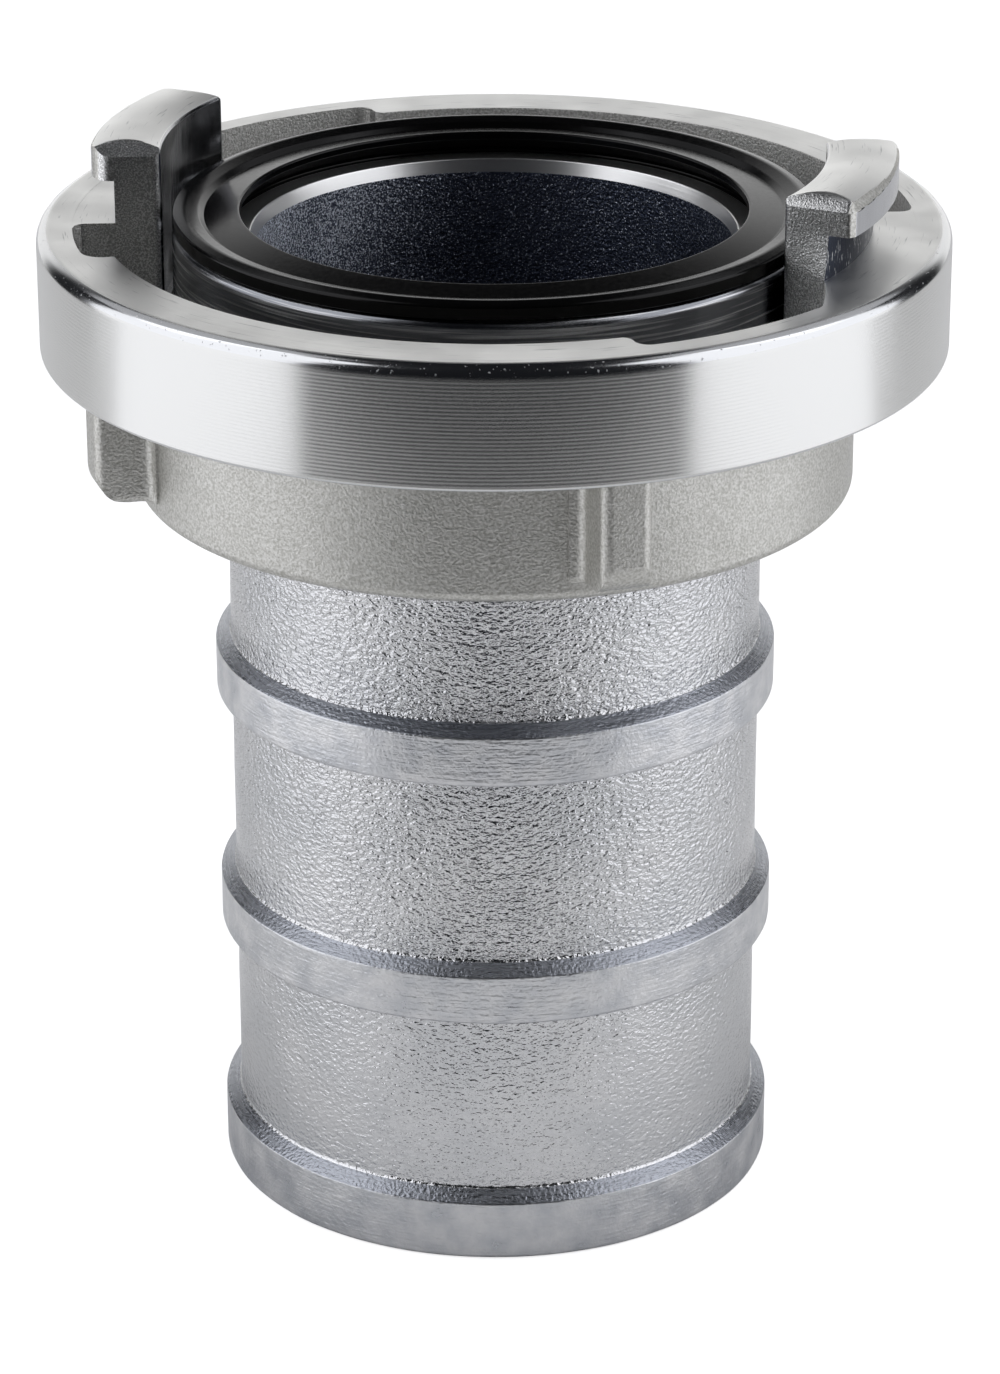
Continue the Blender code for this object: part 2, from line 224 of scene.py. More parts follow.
def makeFacedMouth():
    # the bore's faced mouth: the cleanest cut, pale with a soft shine
    finish, tree, shader, place = newFinish("facedMouth", metallic=1.0, roughness=0.30, base="#EDEDEC")
    lines = grain(tree, place, size=0.5, detail=3.0, stretch=(30, 30, 0.6))
    relief(tree, shader, lines, depth=0.012)
    return finish


def makeCastBore():
    # the cored bore as it left the mould: sandy, sprinkled with bright grains, its colour painted dark navy
    # as the shade and dark reflections down the bore
    finish, tree, shader, place = newFinish("castBore", metallic=1.0, roughness=0.40, base="#70747C")
    sand = grain(tree, place, size=0.42, detail=2.0)
    clouds = grain(tree, place, size=16.0, detail=3.0)
    relief(tree, shader, sand, depth=0.26)
    spread(tree, shader, "Roughness", clouds, low=0.34, high=0.50)
    # painted light: on the bore's -X side a lighter, duller patch with more bright grains stands in for
    # light falling on that wall
    hazeEdge, hazeFull, hazeGrains = -2, -28, 0.26  # millimetres across the bore, and how many more grains
    across = addNode(tree, "ShaderNodeSeparateXYZ", {0: place}).outputs["X"]
    side = addNode(
        tree,
        "ShaderNodeMapRange",
        {"Value": across, "From Min": hazeEdge * mm, "From Max": hazeFull * mm},
    ).outputs["Result"]
    paintedHaze = addNode(tree, "ShaderNodeMath", {0: clouds, 1: side}, operation="MULTIPLY").outputs[0]
    specks = grain(tree, place, size=0.26, detail=1.0)
    grains = addNode(
        tree, "ShaderNodeMath", {0: paintedHaze, 1: hazeGrains, 2: specks}, operation="MULTIPLY_ADD"
    ).outputs[0]
    spread(tree, shader, "Metallic", paintedHaze, low=1.0, high=0.3, start=0.05, end=0.5)
    # painted shade: the dark navy colour stands in for the shade and dark reflections inside the bore
    tint(tree, shader, grains, "#4C5262", "#E4E9F4", start=0.60, end=0.70)
    return finish


def makeTurnedRim():
    # the flange's turned rim: a groove about every half millimetre spreads reflections up and down
    finish, tree, shader, place = newFinish("turnedRim", metallic=1.0, roughness=0.24, base="#DBDBD9")
    pitch = 0.52
    bandLength = math.pi / 10  # of a wave texture's bands at scale 1
    groove = addNode(
        tree,
        "ShaderNodeTexWave",
        {"Vector": place, "Scale": bandLength * perMetre(pitch), "Distortion": 0.1, "Detail": 1.0},
        wave_type="BANDS",
        bands_direction="Z",
    ).outputs["Fac"]
    lines = grain(tree, place, size=0.45, detail=2.0, stretch=(60, 60, 0.7))
    bump = relief(tree, shader, groove, depth=0.005)
    relief(tree, shader, lines, depth=0.0025, under=bump)
    shader.inputs["Anisotropic"].default_value = 0.6
    shader.inputs["Anisotropic Rotation"].default_value = 0.25
    around = addNode(tree, "ShaderNodeTangent", direction_type="RADIAL", axis="Z").outputs[0]
    tree.links.new(around, shader.inputs["Tangent"])
    return finish


def makePolishedEdge():
    # the rim's rounded edge, close to a mirror with a few tool lines and small dull nicks from handling
    finish, tree, shader, place = newFinish("polishedEdge", metallic=1.0, roughness=0.15, base="#DCDDDE")
    lines = grain(tree, place, size=0.4, detail=3.0, stretch=(50, 50, 0.5))
    nicks = grain(tree, place, size=0.45, detail=1.0)
    relief(tree, shader, lines, depth=0.012)
    spread(tree, shader, "Roughness", nicks, low=0.15, high=0.65, start=0.70, end=0.74)
    return finish


def makeSatinFace():
    # faced aluminium: satin, with faint rings from the tool and a few scratches round the flange
    finish, tree, shader, place = newFinish("satinFace", metallic=1.0, roughness=0.40, base="#ECECE9")
    rings = turnedRings(tree, place, pitch=0.8)
    clouds = grain(tree, place, size=9.0, detail=4.0)
    scratches = grain(tree, unrolled(tree, place), size=0.4, detail=3.0, stretch=(1, 22, 1))
    relief(tree, shader, rings, depth=0.012)
    spread(tree, shader, "Roughness", clouds, low=0.29, high=0.40)
    tint(tree, shader, scratches, "#A9AAAB", "#F5F5F3", start=0.25, end=0.37)
    return finish


def makeBlastedAluminium():
    # forged aluminium, shot-blasted: warm grey and evenly matt
    finish, tree, shader, place = newFinish("blastedAluminium", metallic=1.0, roughness=0.48, base="#D8D7D3")
    # the shot's marks are drawn half as wide again as they are, so that they show
    grit = grain(tree, place, size=0.36, detail=3.0)
    clouds = grain(tree, place, size=11.0, detail=5.0)
    relief(tree, shader, grit, depth=0.085)
    spread(tree, shader, "Roughness", clouds, low=0.38, high=0.50)
    tint(tree, shader, grit, "#B9B8B2", "#DCDBD7", start=0.36, end=0.64)
    return finish


def makeForgedWall():
    # walls left by the forging die: sandy and dull, so they take light from every side
    finish, tree, shader, place = newFinish("forgedWall", metallic=1.0, roughness=0.66, base="#E4E3DF")
    grit = grain(tree, place, size=0.34, detail=3.0)
    relief(tree, shader, grit, depth=0.20)
    tint(tree, shader, grit, "#C9C8C3", "#F0EFEC")
    return finish


def makeForgedSkin():
    # the lug ends and the channel's floor as forged: sandy, with a highlight painted on every grain
    finish, tree, shader, place = newFinish("forgedSkin", metallic=1.0, roughness=0.29, base="#BDBCB8")
    grit = grain(tree, place, size=0.26, detail=2.0)
    relief(tree, shader, grit, depth=0.075)
    paintedGlints = grain(tree, place, size=0.22, detail=2.0)
    # painted highlights: the palest grains stand in for glints
    tint(tree, shader, paintedGlints, "#B6B6B5", "#F6F6F5", start=0.44, end=0.62)
    return finish


def makeMilledAluminium():
    # milled walls of the lugs: smooth enough to mirror, streaked along the cutter's path
    finish, tree, shader, place = newFinish("milledAluminium", metallic=1.0, roughness=0.16, base="#B7B8BB")
    streaks = grain(tree, place, size=0.9, detail=4.0, stretch=(1, 1, 14))
    clouds = grain(tree, place, size=4.0, detail=3.0)
    relief(tree, shader, streaks, depth=0.025)
    spread(tree, shader, "Roughness", clouds, low=0.10, high=0.22)
    return finish


def makeScratchedNeck():
    # the neck under the hooks: painted dark navy for the shade and dark reflections under the hook's head,
    # scratched bright where the other half slides
    finish, tree, shader, place = newFinish("scratchedNeck", metallic=1.0, roughness=0.30, base="#5C616C")
    scratches = grain(tree, place, size=0.4, detail=3.0, stretch=(9, 1, 4))
    relief(tree, shader, scratches, depth=0.04)
    # painted shade: the dark navy between the scratches stands in for the shade under the hook's head
    tint(tree, shader, scratches, "#343A49", "#F0F1F3", start=0.61, end=0.68)
    return finish


def makeMouldedRubber():
    # black moulded rubber: a soft sheen and a faint dusting
    finish, tree, shader, place = newFinish("mouldedRubber", metallic=0.0, roughness=0.18, base="#060606")
    shader.inputs["Specular IOR Level"].default_value = 0.24
    dust = grain(tree, place, size=0.6, detail=3.0)
    relief(tree, shader, dust, depth=0.006)
    spread(tree, shader, "Roughness", dust, low=0.15, high=0.22)
    return finish


def makeDrawnWire():
    # drawn spring steel: grey, with the die's lines along the wire
    finish, tree, shader, place = newFinish("drawnWire", metallic=1.0, roughness=0.30, base="#9A9B9D")
    lines = grain(tree, place, size=0.3, detail=2.0, stretch=(20, 20, 1))
    relief(tree, shader, lines, depth=0.01)
    return finish


# shapes

def rounded(corners, steps=6, stretch=None):
    # points of a closed outline of (x, y, fillet radius) corners, long straights split at every stretch
    points = []
    for index, (x, y, radius) in enumerate(corners):
        corner = Vector((x, y))
        if not radius:
            points.append(corner)
            continue
        before = (Vector(corners[index - 1][:2]) - corner).normalized()
        after = (Vector(corners[(index + 1) % len(corners)][:2]) - corner).normalized()
        half = before.angle(after) / 2
        reach = radius / math.tan(half)
        centre = corner + (before + after).normalized() * radius / math.sin(half)
        spoke = corner + before * reach - centre
        turn = spoke.angle_signed(corner + after * reach - centre)
        for step in range(steps + 1):
            points.append(centre + Matrix.Rotation(-turn * step / steps, 2) @ spoke)
    if not stretch:
        return points
    split = []
    for index, point in enumerate(points):
        last = points[index - 1]
        count = max(1, round((point - last).length / stretch))
        split += [last.lerp(point, (step + 1) / count) for step in range(count)]
    return split


def newPiece(name, shape):
    bmesh.ops.recalc_face_normals(shape, faces=shape.faces)
    mesh = bpy.data.meshes.new(name)
    shape.to_mesh(mesh)
    shape.free()
    piece = bpy.data.objects.new(name, mesh)
    scene.collection.objects.link(piece)
    return piece


def turnPiece(name, points, segments):
    # a ring spun round the hose axis from a closed section of (radius, height) points
    shape = bmesh.new()
    columns = []
    for segment in range(segments):
        angle = math.tau * segment / segments
        cosine, sine = math.cos(angle), math.sin(angle)
        columns.append([
            shape.verts.new((p.x * cosine * mm, p.x * sine * mm, p.y * mm)) for p in points
        ])
    for segment, column in enumerate(columns):
        last = columns[segment - 1]
        for row in range(len(points)):
            shape.faces.new((last[row - 1], last[row], column[row], column[row - 1]))
    return newPiece(name, shape)


def gridBlock(name, xs, ys, zs, inside, place):
    # the skin of a block of grid cells, each corner put where place says, in millimetres
    shape = bmesh.new()
    corners = {}

    def corner(*key):
        if key not in corners:
            i, j, k = key
            corners[key] = shape.verts.new(place(xs[i], ys[j], zs[k]) * mm)
        return corners[key]

    cells = set()
    for i in range(len(xs) - 1):
        for j in range(len(ys) - 1):
            for k in range(len(zs) - 1):
                if inside((xs[i] + xs[i + 1]) / 2, (ys[j] + ys[j + 1]) / 2, (zs[k] + zs[k + 1]) / 2):
                    cells.add((i, j, k))
    for cell in cells:
        for axis in range(3):
            for side in (0, 1):
                beside = list(cell)
                beside[axis] += 1 if side else -1
                if tuple(beside) in cells:
                    continue
                loop = []
                for a, b in ((0, 0), (1, 0), (1, 1), (0, 1)):
                    key = list(cell)
                    key[axis] += side
                    key[(axis + 1) % 3] += a
                    key[(axis + 2) % 3] += b
                    loop.append(corner(*key))
                shape.faces.new(loop if side else loop[::-1])
    return newPiece(name, shape)


def spaced(*stops):
    # grid values from (value, count of steps to the next value) stops
    values = []
    for (value, count), following in zip(stops, stops[1:]):
        values += [value + (following[0] - value) * step / count for step in range(count)]
    return values + [stops[-1][0]]


def easeCorner(a, b, reachA, reachB, power=2):
    # a and b are depths below two faces: inside the corner they bend onto a round edge,
    # or onto a chamfer at power 1
    p, q = 1 - a / reachA, 1 - b / reachB
    if p <= 0 or q <= 0:
        return a, b
    share = max(p, q) / (p ** power + q ** power) ** (1 / power)
    return reachA * (1 - p * share), reachB * (1 - q * share)


def polar(radius, degrees, height):
    turn = math.radians(degrees)
    return Vector((radius * math.cos(turn), radius * math.sin(turn), height))


def applyModifiers(piece):
    depsgraph = bpy.context.evaluated_depsgraph_get()
    mesh = bpy.data.meshes.new_from_object(piece.evaluated_get(depsgraph))
    piece.modifiers.clear()
    piece.data = mesh


def combine(piece, operation, tools):
    # Booleans with each tool in turn, then the tools go
    for tool in tools:
        step = piece.modifiers.new(tool.name, "BOOLEAN")
        step.operation = operation
        step.solver = "EXACT"
        step.object = tool
        bpy.context.view_layer.update()
        applyModifiers(piece)
        bpy.data.objects.remove(tool)


def dress(piece, finishes, choose, sharpDegrees=35):
    # materials by face, smooth shading with crisp edges, flat faces kept flat
    mesh = piece.data
    mesh.materials.clear()
    names = list(finishes)
    for name in names:
        mesh.materials.append(finishes[name])
    for face in mesh.polygons:
        centre = face.center / mm
        radius = math.hypot(centre.x, centre.y)
        out = (face.normal.x * centre.x + face.normal.y * centre.y) / radius
        face.material_index = names.index(choose(radius, centre.z, out, face.normal.z, centre))
    mesh.shade_smooth()
    mesh.set_sharp_from_angle(angle=math.radians(sharpDegrees))
    even = piece.modifiers.new("evenNormals", "WEIGHTED_NORMAL")
    even.keep_sharp = True
    even.weight = 100


# hose tail, in millimetres

tail = {
    "segments": 360,
    "stemRadius": 37.5,
    "wall": 4.5,
    "barbHeight": 2.2,
    "barbBottoms": (36.9, 72.8),
    "band": 7.2,
    "ramp": 1.65,
    "endBand": 8.75,
    "journalStart": 104.5,
    "journalRadius": 40.0,
    "collarBottom": 110.3,
    "wireLevel": 118.3,
    "wireRoom": 1.7,
    "wireGroove": 41.3,
    "collarRound": 1.4,
    "sealSeat": (42.2, 36.8, 133.0),  # outer radius, inner radius, floor
    "mouth": (33.6, 139.6, 1.9),  # radius, top, depth
    "endRounds": (0.6, 0.9),  # the open end's inner and outer edge
    "stepRounds": (0.25, 0.6),  # under a barb and on its lower edge
    "rampRounds": (0.4, 0.6),  # on a barb's upper edge and at the foot of its ramp
    "journalRounds": (0.5, 0.3),
    "collarFoot": 0.3,
    "seatRounds": (0.15, 0.2),
    "mouthRounds": (0.25, 0.3),
    "roundSteps": 5,
    "rowHeight": 1.2,
    "unevenness": 0.05,
    "unevenRun": 6,  # about how far apart the skin's waves are
}


def makeTail(finishes):
    stem = tail["stemRadius"]
    bore = stem - tail["wall"]
    barb = stem + tail["barbHeight"]
    crest, rampFoot = tail["rampRounds"]
    corners = [
        (bore, 0, tail["endRounds"][0]),
        (barb, 0, tail["endRounds"][1]),
        (barb, tail["endBand"], crest),
        (stem, tail["endBand"] + tail["ramp"], rampFoot),
    ]
    for bottom in tail["barbBottoms"]:
        top = bottom + tail["band"]
        corners += [
            (stem, bottom, tail["stepRounds"][0]),
            (barb, bottom, tail["stepRounds"][1]),
            (barb, top, crest),
            (stem, top + tail["ramp"], rampFoot),
        ]
    journal, level, room = tail["journalRadius"], tail["wireLevel"], tail["wireRoom"]
    seatOuter, seatInner, seatFloor = tail["sealSeat"]
    mouthRadius, mouthTop, mouthDepth = tail["mouth"]
    corners += [
        (stem, tail["journalStart"], tail["journalRounds"][0]),
        (journal, tail["journalStart"] + journal - stem, tail["journalRounds"][1]),
        (journal, tail["collarBottom"], 0),
        (collarRadius, tail["collarBottom"], tail["collarFoot"]),
        (collarRadius, level - room, 0),
        (tail["wireGroove"], level - room, 0),
        (tail["wireGroove"], level + room, 0),
        (collarRadius, level + room, 0),
        (collarRadius, collarTop, tail["collarRound"]),
        (seatOuter, collarTop, tail["seatRounds"][0]),
        (seatOuter, seatFloor, 0),
        (seatInner, seatFloor, 0),
        (seatInner, mouthTop, tail["seatRounds"][1]),
        (mouthRadius, mouthTop, tail["mouthRounds"][0]),
        (bore, mouthTop - mouthDepth, tail["mouthRounds"][1]),
    ]
    points = rounded(corners, tail["roundSteps"], tail["rowHeight"])
    piece = turnPiece("hoseTail", points, tail["segments"])
    for vertex in piece.data.vertices:
        at = vertex.co / mm
        if at.z < tail["journalStart"]:
            away = Vector((at.x, at.y, 0)).normalized()
            vertex.co += away * mm * tail["unevenness"] * noise.noise(at / tail["unevenRun"])
    # where one finish ends and the next begins, a little past the edge
    boreTop = mouthTop - mouthDepth + 0.1
    mouthOuter = seatInner + 0.3
    barbInner = stem + 0.25
    slope = 0.5  # how far a face looks inwards or upwards to count as doing so

    def choose(radius, height, out, up, centre):
        if out < -slope:
            return "castBore" if height < boreTop else "facedMouth"
        if height > tail["journalStart"]:
            return "turnedCollar" if radius > mouthOuter else "facedMouth"
        if radius > barbInner:
            return "turnedRamp" if up > slope else "scuffedAluminium"
        return "tumbledAluminium"

    used = ("tumbledAluminium", "scuffedAluminium", "turnedRamp", "castBore", "facedMouth", "turnedCollar")
    dress(piece, {name: finishes[name] for name in used}, choose)
    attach(piece, "tail")
    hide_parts("hose_tail")


# face seal, in millimetres

seal = {
    "segments": 256,
    "foot": (37.1, 41.9, 133.3),  # inner radius, outer radius, bottom
    "footRound": 0.2,
    "rim": (44.3, 0.1, 2.0),  # radius, bottom and top above the collar
    "rimRounds": (0.1, 0.2, 0.5),  # under the rim, on its lower and on its upper edge
    # radius, height above the collar and fillet of the bead's own points, from outside to inside
    "bead": ((42.7, 2.45, 1.6), (40.7, 1.95, 0.7), (39.95, 1.35, 0.1)),
    "lipRadius": 35.0,
    "lipDrop": 1.1,
    "lipRoot": 139.9,
    "lipRound": 0.3,
    "roundSteps": 6,
    "rowWidth": 1.5,
}


def makeSeal(finishes):
    footInner, footOuter, footBottom = seal["foot"]
    rimRadius, rimBottom, rimTop = seal["rim"]
    rimInner, rimLow, rimHigh = seal["rimRounds"]
    corners = [
        (footInner, footBottom, seal["footRound"]),
        (footOuter, footBottom, seal["footRound"]),
        (footOuter, collarTop + rimBottom, rimInner),
        (rimRadius, collarTop + rimBottom, rimLow),
        (rimRadius, collarTop + rimTop, rimHigh),
    ]
    corners += [(radius, collarTop + height, fillet) for radius, height, fillet in seal["bead"]]
    corners += [
        (seal["lipRadius"], sealHigh.z, seal["lipRound"]),
        (seal["lipRadius"], sealHigh.z - seal["lipDrop"], seal["lipRound"]),
        (footInner, seal["lipRoot"], 0),
    ]
    points = rounded(corners, seal["roundSteps"], seal["rowWidth"])
    piece = turnPiece("faceSeal", points, seal["segments"])
    dress(piece, {"mouldedRubber": finishes["mouldedRubber"]}, lambda *face: "mouldedRubber")
    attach(piece, "tail")
    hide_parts("face_seal")


# lug ring, in millimetres, with angles round the axis in degrees

ring = {
    "segments": 256,
    "thrustRadius": 40.3,
    "thrustTop": 110.0,
    "boreRadius": 44.7,
    "hubRadius": 50.2,
    "flangeBottom": 124.2,
    "channelFloor": 130.0,
    "channelRadius": 58.4,
    "clawRadius": 53.9,
    "clawUnderside": 135.5,
    "edgeRound": 1.9,
    "wireGroove": 46.25,
    "hubRounds": (0.3, 1.6, 1.4),  # inner and outer edge of the foot, under the flange
    "flangeFoot": 0.6,
    "clawRounds": (0.12, 0.3),  # the lip's upper and lower edge
    "channelRounds": (0.4, 0.6, 0.3),  # under the lip, at the floor, at the bore
    "thrustRound": 0.2,
}

lug = {
    "near": -32.9,  # degrees, as is far
    "far": 2.5,
    "inner": 45.6,
    "neck": 52.1,
    "head": 55.4,
    "headUnderside": 147.2,
    "rootBottom": 128.0,
    "rootOuter": 59.4,
    "rootSink": 0.02,
    "shelf": 9.5,  # degrees that the root reaches ahead of the lug
    "crown": 0.9,
    "endDrop": 1.8,
    "shoulderDrop": 0.2,
    "headBand": 1.0,
    "endReach": (2.7, 2.3),  # near and far end, as in the next two pairs
    "endBulge": (1.6, 1.25),
    "innerRound": (1.0, 1.2),
    "nearLean": 1.4,
    "leadIn": (1.0, 0.45),  # along the lug and across it
    "bevel": 0.95,
    "bevelRun": 19.0,
    "farCorner": (3.8, 2.8),  # along the lug and across it
    "slotRound": 1.8,
    "slotReach": 4.6,
    "edge": 0.3,
}

opening = {
    "entry": 38.4,  # degrees, as is relief
    "relief": 16.0,
    "radius": 58.0,
    "inner": 49.0,
    "lipRound": (1.8, 0.7),  # entry and relief, as in the next pair
    "slotRound": (2.0, 3.0),
    "bottom": 133.0,
    "lipOverlap": 0.1,
    "endOverlap": 5.0,  # degrees
    "arcSteps": 48,
    "roundSteps": 8,
}

rib = {
    "angles": (-72.5, 17.5, 107.5, 197.5),  # degrees
    "foot": 106.5,
    "outer": 57.9,
    "halfWidth": 3.9,
    "draft": 0.5,
    "sink": 1.5,
    "flare": 1.8,
    "edge": 1.4,
    "lowEdge": 0.9,
    "toe": 4.5,
    "flangeSink": 2.5,
}


def makeOpeningTool(turn):
    start = lug["near"] - opening["entry"] + turn
    end = lug["far"] + opening["relief"] + turn
    lip, slot, inner = ring["clawRadius"] - opening["lipOverlap"], opening["radius"], opening["inner"]
    wide, steps = opening["endOverlap"], opening["arcSteps"]

    def at(radius, degrees, fillet=0):
        point = polar(radius, degrees, 0)
        return (point.x, point.y, fillet)

    corners = [at(inner, start - wide), at(lip, start - wide)]
    corners += [at(lip, start, opening["lipRound"][0]), at(slot, start, opening["slotRound"][0])]
    corners += [at(slot, degrees) for degrees in spaced((start + wide, steps), (end - wide, 1))]
    corners += [at(slot, end, opening["slotRound"][1]), at(lip, end, opening["lipRound"][1])]
    corners += [at(lip, end + wide), at(inner, end + wide)]
    corners += [at(inner, degrees) for degrees in spaced((end, steps), (start, 1))]
    points = rounded(corners, opening["roundSteps"])
    shape = bmesh.new()
    face = shape.faces.new([
        shape.verts.new((p.x * mm, p.y * mm, opening["bottom"] * mm)) for p in points
    ])
    raised = bmesh.ops.extrude_face_region(shape, geom=[face])["geom"]
    lifted = [part for part in raised if isinstance(part, bmesh.types.BMVert)]
    bmesh.ops.translate(shape, verts=lifted, vec=(0, 0, (lugTop - opening["bottom"]) * mm))
    return newPiece("openingTool", shape)


lugMiddle = (lug["inner"] + lug["head"]) / 2
lugLength = math.radians(lug["far"] - lug["near"]) * lugMiddle


def crownHeight(radius):
    # the faced top is highest along the middle of the lug
    across = (min(radius, lug["head"]) - lugMiddle) / (lugMiddle - lug["inner"])
    return lugTop - lug["crown"] * across * across


def endHeight(distance, end):
    # the forged end climbs to the crown's height over its reach
    climb = max(0.0, 1 - distance / lug["endReach"][end])
    return lugTop - lug["endDrop"] * climb ** lug["endBulge"][end]


def endWidth(radius, end):
    # how far from the lug's end the crown and the forged end meet
    share = (lugTop - crownHeight(radius)) / lug["endDrop"]
    return lug["endReach"][end] * (1 - share ** (1 / lug["endBulge"][end]))


def makeLug(turn):
    inner, neck, head = lug["inner"], lug["neck"], lug["head"]
    rootTop = flangeTop - lug["rootSink"]
    shoulder = lugTop - lug["endDrop"] - lug["shoulderDrop"]
    slot, fillet = opening["radius"], lug["slotRound"]
    radii = spaced(
        (inner, 6),
        (inner + lug["innerRound"][1], 10),
        (neck, 6),
        (head - lug["headBand"], 5),
        (head, 2),
        (slot - fillet, 6),
        (slot, 1),
        (lug["rootOuter"], 1),
    )
    heights = spaced(
        (lug["rootBottom"], 4),
        (rootTop, 5),
        (lug["headUnderside"], 5),
        (shoulder, 8),
        (lugTop, 1),
    )
    # stations 0 to 1 and 2 to 3 are the forged ends, 1 to 2 is what lies between
    stations = spaced((0, 8), (1, 12), (1.2, 22), (1.7, 16), (2, 8), (3, 1))

    def inside(radius, height, station):
        if radius < neck:
            return True
        if height > lug["headUnderside"]:
            return radius < head
        return height < rootTop

    def place(radius, height, station):
        first, last = endWidth(radius, 0), endWidth(radius, 1)
        if station < 1:
            run = first * station
        elif station > 2:
            run = lugLength - last * (3 - station)
        else:
            run = first + (lugLength - first - last) * (station - 1)
        ahead, behind = run, lugLength - run
        inHead = lug["headUnderside"] <= height and radius <= head
        if radius <= head:
            into = radius - inner
            into, ahead = easeCorner(into, ahead, lug["innerRound"][0], lug["innerRound"][0])
            into, behind = easeCorner(into, behind, lug["innerRound"][1], lug["innerRound"][1])
            out = head - inner - into
            if inHead:
                ahead, out = easeCorner(ahead, out, lug["leadIn"][0], lug["leadIn"][1], power=1)
                behind, out = easeCorner(behind, out, lug["farCorner"][0], lug["farCorner"][1])
            radius = head - out
        elif radius > slot - fillet and behind < lug["slotReach"]:
            # the root runs into the slot's outer wall with a fillet
            over = min(fillet, radius - slot + fillet)
            swell = fillet - math.sqrt(fillet ** 2 - over ** 2)
            behind -= swell * (1 - behind / lug["slotReach"])
        top = min(crownHeight(radius), endHeight(ahead, 0), endHeight(behind, 1))
        if height > shoulder:
            height = shoulder + (top - shoulder) * (height - shoulder) / (lugTop - shoulder)
        down = top - height
        if radius <= head:
            into, down = easeCorner(radius - inner, down, lug["edge"], lug["edge"])
            radius = inner + into
        if inHead:
            # the bevel starts at the lead-in and tapers off along the outer edge
            skin = lug["leadIn"][1] * max(0, 1 - ahead / lug["leadIn"][0])
            taper = min(1, ahead / lug["leadIn"][0]) * (1 - ahead / lug["bevelRun"])
            bevel = lug["edge"] + (lug["bevel"] - lug["edge"]) * max(0, taper)
            out, down = easeCorner(head - radius - skin, down, bevel, bevel, power=1)
            radius = head - skin - out
        if run < lugLength / 2:
            # the hook's near end leans back towards its outer edge
            hooked = min(1, max(0, (height - rootTop) / (lug["headUnderside"] - rootTop)))
            lean = lug["nearLean"] * hooked * (radius - inner) / (head - inner)
            run = ahead + lean * (1 - 2 * ahead / lugLength)
        else:
            run = lugLength - behind
        degrees = lug["near"] + math.degrees(run / lugMiddle) + turn
        if radius > neck and height <= rootTop:
            slant = lug["shelf"] * min(1, (radius - neck) / (slot - neck))
            degrees -= slant * max(0, 1 - run / lug["slotReach"])
        return polar(radius, degrees, top - down)

    return gridBlock("lugTool", radii, heights, stations, inside, place)


def makeRib(angle):
    hub, outer = ring["hubRadius"], rib["outer"]
    top = ring["flangeBottom"] + rib["flangeSink"]
    depths = spaced(
        (hub - rib["sink"], 2),
        (hub, 8),
        (hub + rib["flare"], 6),
        (outer - rib["edge"], 5),
        (outer, 1),
    )
    # from one side to the other, with more steps near the edges
    widths = spaced((-1, 6), (-0.6, 4), (0.6, 6), (1, 1))
    heights = spaced((rib["foot"], 12), (rib["foot"] + rib["toe"], 10), (top, 1))

    def place(depth, width, height):
        lift = max(0.0, depth - hub)
        half = rib["halfWidth"] - rib["draft"] * lift / (outer - hub)
        front, low = easeCorner(outer - depth, height - rib["foot"], rib["toe"], rib["toe"])
        side = half * (1 - abs(width))
        front, side = easeCorner(front, side, rib["edge"], rib["edge"])
        low, side = easeCorner(low, side, rib["lowEdge"], rib["lowEdge"])
        lift = max(0.0, outer - front - hub)
        if lift < rib["flare"]:
            half += rib["flare"] - math.sqrt(rib["flare"] ** 2 - (rib["flare"] - lift) ** 2)
        return Matrix.Rotation(math.radians(angle), 3, "Z") @ Vector(
            (outer - front, math.copysign(half - side, width), rib["foot"] + low)
        )

    return gridBlock("ribTool", depths, widths, heights, lambda *cell: True, place)


